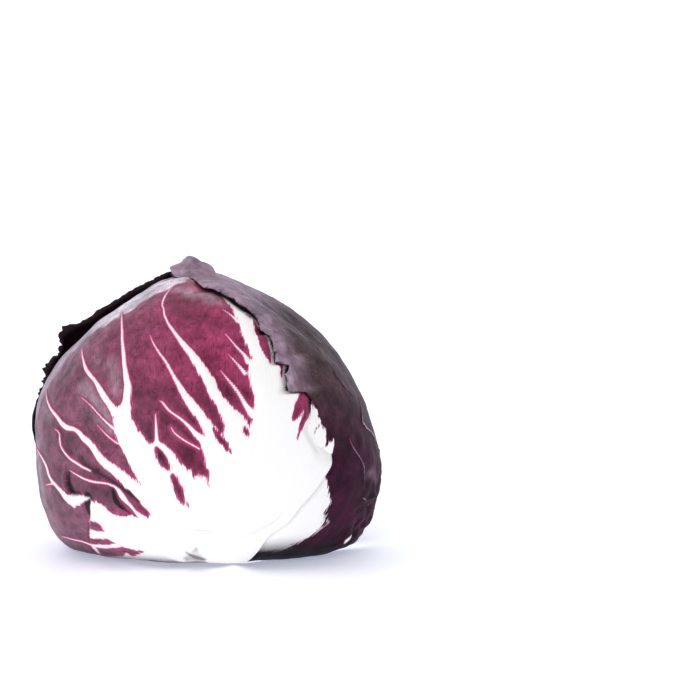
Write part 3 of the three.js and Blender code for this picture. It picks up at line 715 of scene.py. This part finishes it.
def right_relief(page, points, turn, reach, d):
    ribs, width = page.streaks(RIGHT_RIBS)
    side, half = page.lines(RIGHT_RIBS)
    base = page.patches(RIGHT_WHITE)
    steps, crook = page.folds(RIGHT_FOLDS)
    shade, wax_and_sheen = (page.streaks(drawn)[0] for drawn in (RIGHT_SHADE, RIGHT_HIGHLIGHT))
    above_table = points[:, 2]

    height = rib_height(ribs, 0.8) + steps + 0.6 * lumps(points, 15, 5) + 0.35 * lumps(points, 5, 9)
    crumples = 1.8 * lumps(points, 7, 31) + 1.2 * lumps(points, 3, 37)
    height += right.soft_spot(d, *CRUMPLED) * crumples

    # Near its upper margin and on its top the leaf is painted grey-lilac, a painted sheen where it faces up.
    rim = ramp(right.inside(d), 14, 1) * ramp(reach, 74, 82) * (0.85 + 0.6 * lumps(points, 7, 11))
    top = ramp(above_table, 84, 100) * 0.8
    # Painted shade in the crooks and folds low down, and near the table.
    shade = np.maximum(ramp(shade, -0.8, 0.6), crook) * ramp(np.maximum(ribs, base), 0.3, -0.7)
    underside_shade = ramp(above_table, 14, 4) * ramp(ribs, 0.3, -0.7)
    values = {
        "rib_side": side,
        "rib_half": half - 0.5,
        "white": np.maximum(ribs - mix(0.6, 0.15, ramp(width, 0.7, 1.5)), base),
        "feather": np.where(base > ribs - 3, mix(1.3, 3.2, ramp(reach, 52, 42)), 0.1),
        # Aubergine lower down, partly its colour and partly painted shade.
        "tone": ramp(above_table, 80, 40),
        "wax_and_sheen": np.maximum(np.maximum(rim, top) * 0.9, ramp(wax_and_sheen, -3, 1) * 0.28),
        "shade": np.maximum(shade, underside_shade),
        "scar": np.zeros(len(points)),
    }
    return height, values


def back_relief(page, points, turn, reach, d):
    ribs, width = page.streaks(BACK_RIBS)
    side, half = page.lines(BACK_RIBS)
    _, behind, above_table = points.T

    height = rib_height(ribs, 0.9) + 0.5 * lumps(points, 15, 6) + 0.2 * lumps(points, 5, 2)
    height *= ramp(above_table, 1, 9)

    values = {
        "rib_side": side,
        "rib_half": half,
        "white": ribs,
        "feather": mix(0.12, 0.7, ramp(width, 0.6, 2.2)),
        "tone": ramp(above_table, 70, 20),
        "wax_and_sheen": ramp(behind, 20, 45) * 0.35,
        # Painted shade near the margin, where it stands off the front leaf.
        "shade": 0.8 * ramp(back.inside(d), 6.5, 1.5) * (turn > 0) * ramp(reach, 55, 63),
        "scar": np.zeros(len(points)),
    }
    return height, values


# ---- meshes ----
def leaf_piece(name, leaf, fray, relief):
    """A leaf as a closed blade: a fine grid for its outer face, a coarser one inside, joined at the rim."""
    bm = bmesh.new()
    bmesh.ops.create_grid(bm, x_segments=COLUMNS, y_segments=ROWS, size=1)
    outer_count = len(bm.verts)
    outer_rim = [e for e in bm.edges if e.is_boundary]
    made = bmesh.ops.create_grid(bm, x_segments=INNER_COLUMNS, y_segments=INNER_ROWS, size=1)
    bmesh.ops.reverse_faces(bm, faces=list({f for v in made["verts"] for f in v.link_faces}))
    known = set(outer_rim)
    inner_rim = [e for e in bm.edges if e.is_boundary and e not in known]
    side, up, _ = np.array([v.co for v in bm.verts]).T
    is_outer = np.arange(len(side)) < outer_count

    reach = mix(LEAF_FOOT, leaf.tip_reach(side), (up + 1) / 2)
    low, high = leaf.sides(reach)
    nick_left, nick_right, nick_from = fray
    nicks = waves(NICKS, reach) + SAW_DEPTH * (1 - (reach * SAW_TEETH) % 1) * (leaf is right)
    nicks = nicks * ramp(reach, nick_from, nick_from + 6)
    across = (side + 1) / 2
    turn = mix(low, high, across)
    turn += (across**NICK_FADE * nick_right - (1 - across) ** NICK_FADE * nick_left) * nicks
    d = leaf.towards(turn, reach)
    out = lift(leaf, d)
    height, values = relief(Page(leaf, turn, reach, d), place(d, out), turn, reach, d)
    height *= mix(1, PRESSED_FLAT, np.clip(covered(leaf, d) * PRESSED_SOON, 0, 1))
    edge = leaf.inside(d)
    wall = BLADE * mix(THIN_EDGE, 1, ramp(edge, 0, THIN_LENGTH))
    if leaf is back:
        toothed = ramp(reach, 66, 72) * ramp(reach, *FRILL_TOP) * (turn > 0)
        wall = wall + FRILL_ROOM * toothed * ramp(edge, BACK_FRILL_DEPTH + 4, BACK_FRILL_DEPTH)
    points = place(d, out + np.where(is_outer, height, -wall))
    for vertex, point in zip(bm.verts, points):
        vertex.co = point * MM
    bmesh.ops.bridge_loops(bm, edges=outer_rim + inner_rim)
    mesh = bpy.data.meshes.new(name)
    bm.to_mesh(mesh)
    bm.free()
    mesh.shade_smooth()
    values["inner"] = ~is_outer
    for key, value in values.items():
        mesh.attributes.new(key, "FLOAT", "POINT").data.foreach_set("value", value.astype(np.float32))
    fan = mesh.uv_layers.new(name="fan")
    corner = np.zeros(len(mesh.loops), int)
    mesh.loops.foreach_get("vertex_index", corner)
    fan.uv.foreach_set("vector", np.stack([turn, reach], 1)[corner].astype(np.float32).ravel())
    piece = bpy.data.objects.new(name, mesh)
    bpy.context.scene.collection.objects.link(piece)
    return piece


# ---- materials ----
def linear(hex_colour):
    """An sRGB hex colour as linear RGBA."""
    channels = [int(hex_colour[i : i + 2], 16) / 255 for i in (1, 3, 5)]
    return [c / 12.92 if c <= 0.04045 else ((c + 0.055) / 1.055) ** 2.4 for c in channels] + [1]


def add(tree, kind, settings=None, links=None):
    """Adds a node with its settings and its input values or links, and returns it."""
    node = tree.nodes.new("ShaderNode" + kind)
    for key, value in (settings or {}).items():
        setattr(node, key, value)
    for key, value in (links or {}).items():
        if isinstance(value, bpy.types.NodeSocket):
            tree.links.new(value, node.inputs[key])
        else:
            node.inputs[key].default_value = value
    return node


def new_material(name):
    material = bpy.data.materials.new(name)
    material.use_nodes = True
    material.node_tree.nodes.clear()
    return material, material.node_tree


EASED = {"interpolation_type": "SMOOTHSTEP"}
COLOURS = {"data_type": "RGBA"}
TINTED = {"data_type": "RGBA", "blend_type": "MULTIPLY"}
VECTORS = {"data_type": "VECTOR"}
LESS = {"operation": "SUBTRACT"}
PLUS = {"operation": "ADD"}
TIMES = {"operation": "MULTIPLY"}
TIMES_PLUS = {"operation": "MULTIPLY_ADD"}
SIZE_OF = {"operation": "ABSOLUTE"}
LARGER = {"operation": "MAXIMUM"}

# Patterns of a leaf: their sizes in metres, and how many streaks and hairs there are to a degree of its fan.
CLOUD = 9 * MM
SPECK = 2.6 * MM
NET = 5 * MM
NET_BEND = 4 * MM
STREAKS = 0.9
HAIRS = 3
STREAK_STRETCH = 0.14  # how wide a streak is for its length
# The grey of the cut, also used for painted grey shade on the foot and in creases of the white.
SCAR_AND_SHADE_GREY = "#88807c"
# The near-black of painted shade, for crooks, under margins and near the table.
PAINTED_SHADE_DARK = "#140510"


def leaf_material(name, blade, dusk, wax_and_sheen, fringe, blush, rib, inner, rough, sheen):
    """A leaf's skin, with the marks that its mesh holds. Blush is the pale rim of the white, and fringe the
    deeper colour round that."""
    material, tree = new_material(name)
    fan = add(tree, "UVMap", {"uv_map": "fan"}).outputs["UV"]
    spot = add(tree, "TexCoord").outputs["Object"]
    read = {
        key: add(tree, "Attribute", {"attribute_name": key}).outputs["Fac"]
        for key in ("white", "rib_side", "rib_half", "feather", "tone", "wax_and_sheen", "shade", "scar", "inner")
    }
    up_leaf = add(tree, "Mapping", None, {"Vector": fan, "Scale": (1, STREAK_STRETCH, 1)}).outputs[0]
    streak = add(tree, "TexNoise", None, {"Vector": up_leaf, "Scale": STREAKS, "Detail": 3}).outputs["Fac"]
    hair = add(tree, "TexNoise", None, {"Vector": up_leaf, "Scale": HAIRS, "Detail": 2}).outputs["Fac"]
    cloud = add(tree, "TexNoise", None, {"Vector": spot, "Scale": 1 / CLOUD, "Detail": 4}).outputs["Fac"]
    speck = add(tree, "TexNoise", None, {"Vector": spot, "Scale": 1 / SPECK, "Detail": 5}).outputs["Fac"]

    # The net of small veins is where a bent noise crosses its middle value.
    bend = add(tree, "TexNoise", None, {"Vector": spot, "Scale": 1 / NET_BEND, "Detail": 2})
    bent = add(tree, "Mix", VECTORS, {"Factor": 0.0025, 4: spot, 5: bend.outputs["Color"]}).outputs[1]
    net = add(tree, "TexNoise", None, {"Vector": bent, "Scale": 1 / NET, "Detail": 2}).outputs["Fac"]
    off_vein = add(tree, "Math", LESS, {0: net, 1: 0.5}).outputs[0]
    off_vein = add(tree, "Math", SIZE_OF, {0: off_vein}).outputs[0]

    # How far inside the white a point is, in mm, with a border frayed by the streaks.
    fray = add(tree, "Math", LESS, {0: streak, 1: 0.5}).outputs[0]
    fine = add(tree, "Math", LESS, {0: hair, 1: 0.5}).outputs[0]
    fray = add(tree, "Math", PLUS, {0: fray, 1: fine}).outputs[0]
    fray = add(tree, "Math", TIMES, {0: fray, 1: read["feather"]}).outputs[0]
    thin = add(tree, "Math", SIZE_OF, {0: read["rib_side"]}).outputs[0]
    thin = add(tree, "Math", LESS, {0: read["rib_half"], 1: thin}).outputs[0]
    edge = add(tree, "Math", LARGER, {0: thin, 1: read["white"]}).outputs[0]
    edge = add(tree, "Math", TIMES_PLUS, {0: fray, 1: 2.4, 2: edge}).outputs[0]
    in_fringe, in_blush, in_white = (
        add(tree, "MapRange", EASED, {"Value": edge, "From Min": start, "From Max": end}).outputs[0]
        for start, end in ((-1.2, -0.3), (-0.55, -0.1), (-0.25, 0.05))
    )

    colour = add(tree, "Mix", COLOURS, {"Factor": read["tone"], 6: linear(blade), 7: linear(dusk)}).outputs[2]
    cloud_light, hair_light, speck_light = (
        add(
            tree, "MapRange", None,
            {"Value": pattern, "From Min": 0.3, "From Max": 0.7, "To Min": darkest, "To Max": lightest},
        ).outputs[0]
        for pattern, darkest, lightest in ((cloud, 0.62, 1.5), (hair, 0.78, 1.22), (speck, 0.75, 1.3))
    )
    light = add(tree, "Math", TIMES, {0: cloud_light, 1: hair_light}).outputs[0]
    light = add(tree, "Math", TIMES, {0: light, 1: speck_light}).outputs[0]
    vein = add(
        tree, "MapRange", EASED,
        {"Value": off_vein, "From Min": 0, "From Max": 0.022, "To Min": 0.62, "To Max": 1},
    ).outputs[0]
    for tint in (light, vein):
        colour = add(tree, "Mix", TINTED, {"Factor": 1, 6: colour, 7: tint}).outputs[2]

    # Grey wax with painted sheen and highlights, stronger where the streaks are light.
    wax_sheen_share = add(
        tree, "MapRange", EASED,
        {"Value": streak, "From Min": 0.25, "From Max": 0.55, "To Min": 0.6, "To Max": 1},
    ).outputs[0]
    wax_sheen_share = add(tree, "Math", TIMES, {0: wax_sheen_share, 1: read["wax_and_sheen"]}).outputs[0]
    wax_sheen_colour = add(tree, "Mix", TINTED, {"Factor": 0.8, 6: linear(wax_and_sheen), 7: light}).outputs[2]
    # Over the blade go grey wax with painted sheen and highlights, the fringe, blush and white of the ribs,
    # the inner face, the cut's grey with its painted grey shade, and last the painted shade.
    for share, over in (
        (wax_sheen_share, wax_sheen_colour),
        (in_fringe, linear(fringe)),
        (in_blush, linear(blush)),
        (in_white, linear(rib)),
        (read["inner"], linear(inner)),
        (read["scar"], linear(SCAR_AND_SHADE_GREY)),
        (read["shade"], linear(PAINTED_SHADE_DARK)),
    ):
        colour = add(tree, "Mix", COLOURS, {"Factor": share, 6: colour, 7: over}).outputs[2]

    height = add(tree, "Math", TIMES_PLUS, {0: speck, 1: 0.5, 2: hair}).outputs[0]
    bump = add(tree, "Bump", None, {"Height": height, "Strength": 0.3, "Distance": 0.4 * MM}).outputs[0]
    shader = add(
        tree, "BsdfPrincipled", None,
        {
            "Base Color": colour, "Roughness": rough, "IOR": 1.4, "Specular IOR Level": 0.18,
            "Normal": bump, "Sheen Weight": sheen, "Sheen Roughness": 0.5,
        },
    )
    out = add(tree, "OutputMaterial")
    tree.links.new(shader.outputs[0], out.inputs[0])
    return material


# Rosy purple blades with magenta edges along white ribs give the head its marbled look.
RED_LEAF = leaf_material(
    "radicchio_leaf", blade="#8e3557", dusk="#784a5e", wax_and_sheen="#d6cad4", fringe="#ae2e68", blush="#e595b8",
    rib="#fffdfb", inner="#8a5870", rough=0.42, sheen=0.05,
)
# The dark outer leaves are brown above and aubergine below, the dark low down partly painted shade, with a
# grey painted sheen on top; their inner face is painted near black as shade.
DARK_LEAF = leaf_material(
    "radicchio_outer_leaf", blade="#4e3c3f", dusk="#360a26", wax_and_sheen="#aa8fa3", fringe="#3e1029",
    blush="#a8688a", rib="#fffdfb", inner="#1a0810", rough=0.62, sheen=0,
)


HEAD_FOOT = (0, -31, 6)  # mm


def packed_material(name, near, far, start, end):
    """Colour that goes from `near` to `far` between two distances, in mm, from the foot of the head."""
    material, tree = new_material(name)
    spot = add(tree, "TexCoord").outputs["Object"]
    foot = Vector(HEAD_FOOT) * MM
    away = add(tree, "VectorMath", {"operation": "DISTANCE"}, {0: spot, 1: foot}).outputs["Value"]
    cloud = add(tree, "TexNoise", None, {"Vector": spot, "Scale": 1 / (6 * MM), "Detail": 5}).outputs["Fac"]
    away = add(tree, "Math", TIMES_PLUS, {0: cloud, 1: (end - start) * MM, 2: away}).outputs[0]
    ends = {"From Min": start * MM, "From Max": end * MM}
    share = add(tree, "MapRange", EASED, {"Value": away, **ends}).outputs[0]
    colour = add(tree, "Mix", COLOURS, {"Factor": share, 6: linear(near), 7: linear(far)}).outputs[2]
    bump = add(tree, "Bump", None, {"Height": cloud, "Strength": 0.4, "Distance": 0.6 * MM}).outputs[0]
    shader = add(tree, "BsdfPrincipled", None, {"Base Color": colour, "Roughness": 0.5, "Normal": bump})
    out = add(tree, "OutputMaterial")
    tree.links.new(shader.outputs[0], out.inputs[0])
    return material


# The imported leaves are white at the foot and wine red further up.
PACKED_LEAF = packed_material("radicchio_inner_leaf", "#f6efee", "#8a3052", 38, 62)
# The cut core is tan, browned and rough towards its skin.
CUT_STEM = packed_material("radicchio_core", "#c9b79a", "#7a5c40", 0, 14)

# ---- the pieces ----
# Nicks are in degrees on the left and right margin, from a reach on.
pieces = [
    ("front_leaf_blade", front, (0.4, 0.3, 66), front_relief, RED_LEAF, "front_leaf", "purple_leaf"),
    ("right_leaf_blade", right, (0.5, 0.2, 72), right_relief, DARK_LEAF, "right_leaf", "dark_leaf"),
    ("back_leaf_blade", back, (0.4, 0.35, 40), back_relief, DARK_LEAF, "back_leaf", "dark_leaf"),
]
for name, leaf, fray, relief, material, node, slot in pieces:
    piece = leaf_piece(name, leaf, fray, relief)
    piece.data.materials.append(material)
    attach(piece, "root")
    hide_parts(node)

for node in ("heart", "under_leaf_left", "under_leaf_right", "under_leaf_back", "stem"):
    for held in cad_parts[node].material_slots:
        held.material = CUT_STEM if node == "stem" else PACKED_LEAF


# ---- the table, light and camera ----
def plain_sheet(name, size, place_at, turn_x, glow):
    """A white sheet of the studio that lights the head as well as standing behind or under it."""
    bm = bmesh.new()
    bmesh.ops.create_grid(bm, x_segments=1, y_segments=1, size=size)
    bmesh.ops.rotate(bm, verts=bm.verts, matrix=Matrix.Rotation(turn_x * DEG, 3, "X"))
    bmesh.ops.translate(bm, verts=bm.verts, vec=place_at)
    mesh = bpy.data.meshes.new(name)
    bm.to_mesh(mesh)
    bm.free()
    piece = bpy.data.objects.new(name, mesh)
    bpy.context.scene.collection.objects.link(piece)
    material, tree = new_material(name)
    shader = add(
        tree, "BsdfPrincipled", None,
        {
            "Base Color": linear("#f4f2ee"), "Roughness": 0.7,
            "Emission Color": linear("#dfe6ff"), "Emission Strength": glow,
        },
    )
    out = add(tree, "OutputMaterial")
    tree.links.new(shader.outputs[0], out.inputs[0])
    mesh.materials.append(material)


def soft_light(name, place_at, aim, size, watts):
    data = bpy.data.lights.new(name, "AREA")
    data.energy, data.size = watts, size
    lamp = bpy.data.objects.new(name, data)
    lamp.location = place_at
    lamp.rotation_euler = (Vector(aim) - Vector(place_at)).to_track_quat("-Z", "Y").to_euler()
    bpy.context.scene.collection.objects.link(lamp)


TABLE_GLOW = 0.45
BACKDROP_GLOW = 1.3
WORLD_GLOW = 0.5
plain_sheet("table", 30, (0, 0, 0), 0, TABLE_GLOW)
plain_sheet("backdrop", 3, (0, 3, 0), 90, BACKDROP_GLOW)
HEAD_MIDDLE = (0, 0, 0.05)
soft_light("top_light", (-0.2, 0, 1.1), HEAD_MIDDLE, 1, 3)
soft_light("front_light", (-0.35, -1.3, 0.45), HEAD_MIDDLE, 0.7, 5)

world = bpy.data.worlds.new("studio")
world.use_nodes = True
world.node_tree.nodes["Background"].inputs["Color"].default_value = (1, 1, 1, 1)
world.node_tree.nodes["Background"].inputs["Strength"].default_value = WORLD_GLOW
bpy.context.scene.world = world
bpy.context.scene.view_settings.view_transform = "Standard"

# The camera looks a little down on the head, which stands left of the middle of its picture.
CAMERA_TARGET = Vector((0.052, 0, 0.0745))
CAMERA_DISTANCE = 0.9
CAMERA_HEIGHT = 7  # degrees above the table
CAMERA_LENS = 124.8
camera_data = bpy.data.cameras.new("camera")
camera_data.lens = CAMERA_LENS
camera = bpy.data.objects.new("camera", camera_data)
back_along = Vector((0, -math.cos(CAMERA_HEIGHT * DEG), math.sin(CAMERA_HEIGHT * DEG)))
camera.location = CAMERA_TARGET + back_along * CAMERA_DISTANCE
camera.rotation_euler = (-back_along).to_track_quat("-Z", "Y").to_euler()
bpy.context.scene.collection.objects.link(camera)
bpy.context.scene.camera = camera
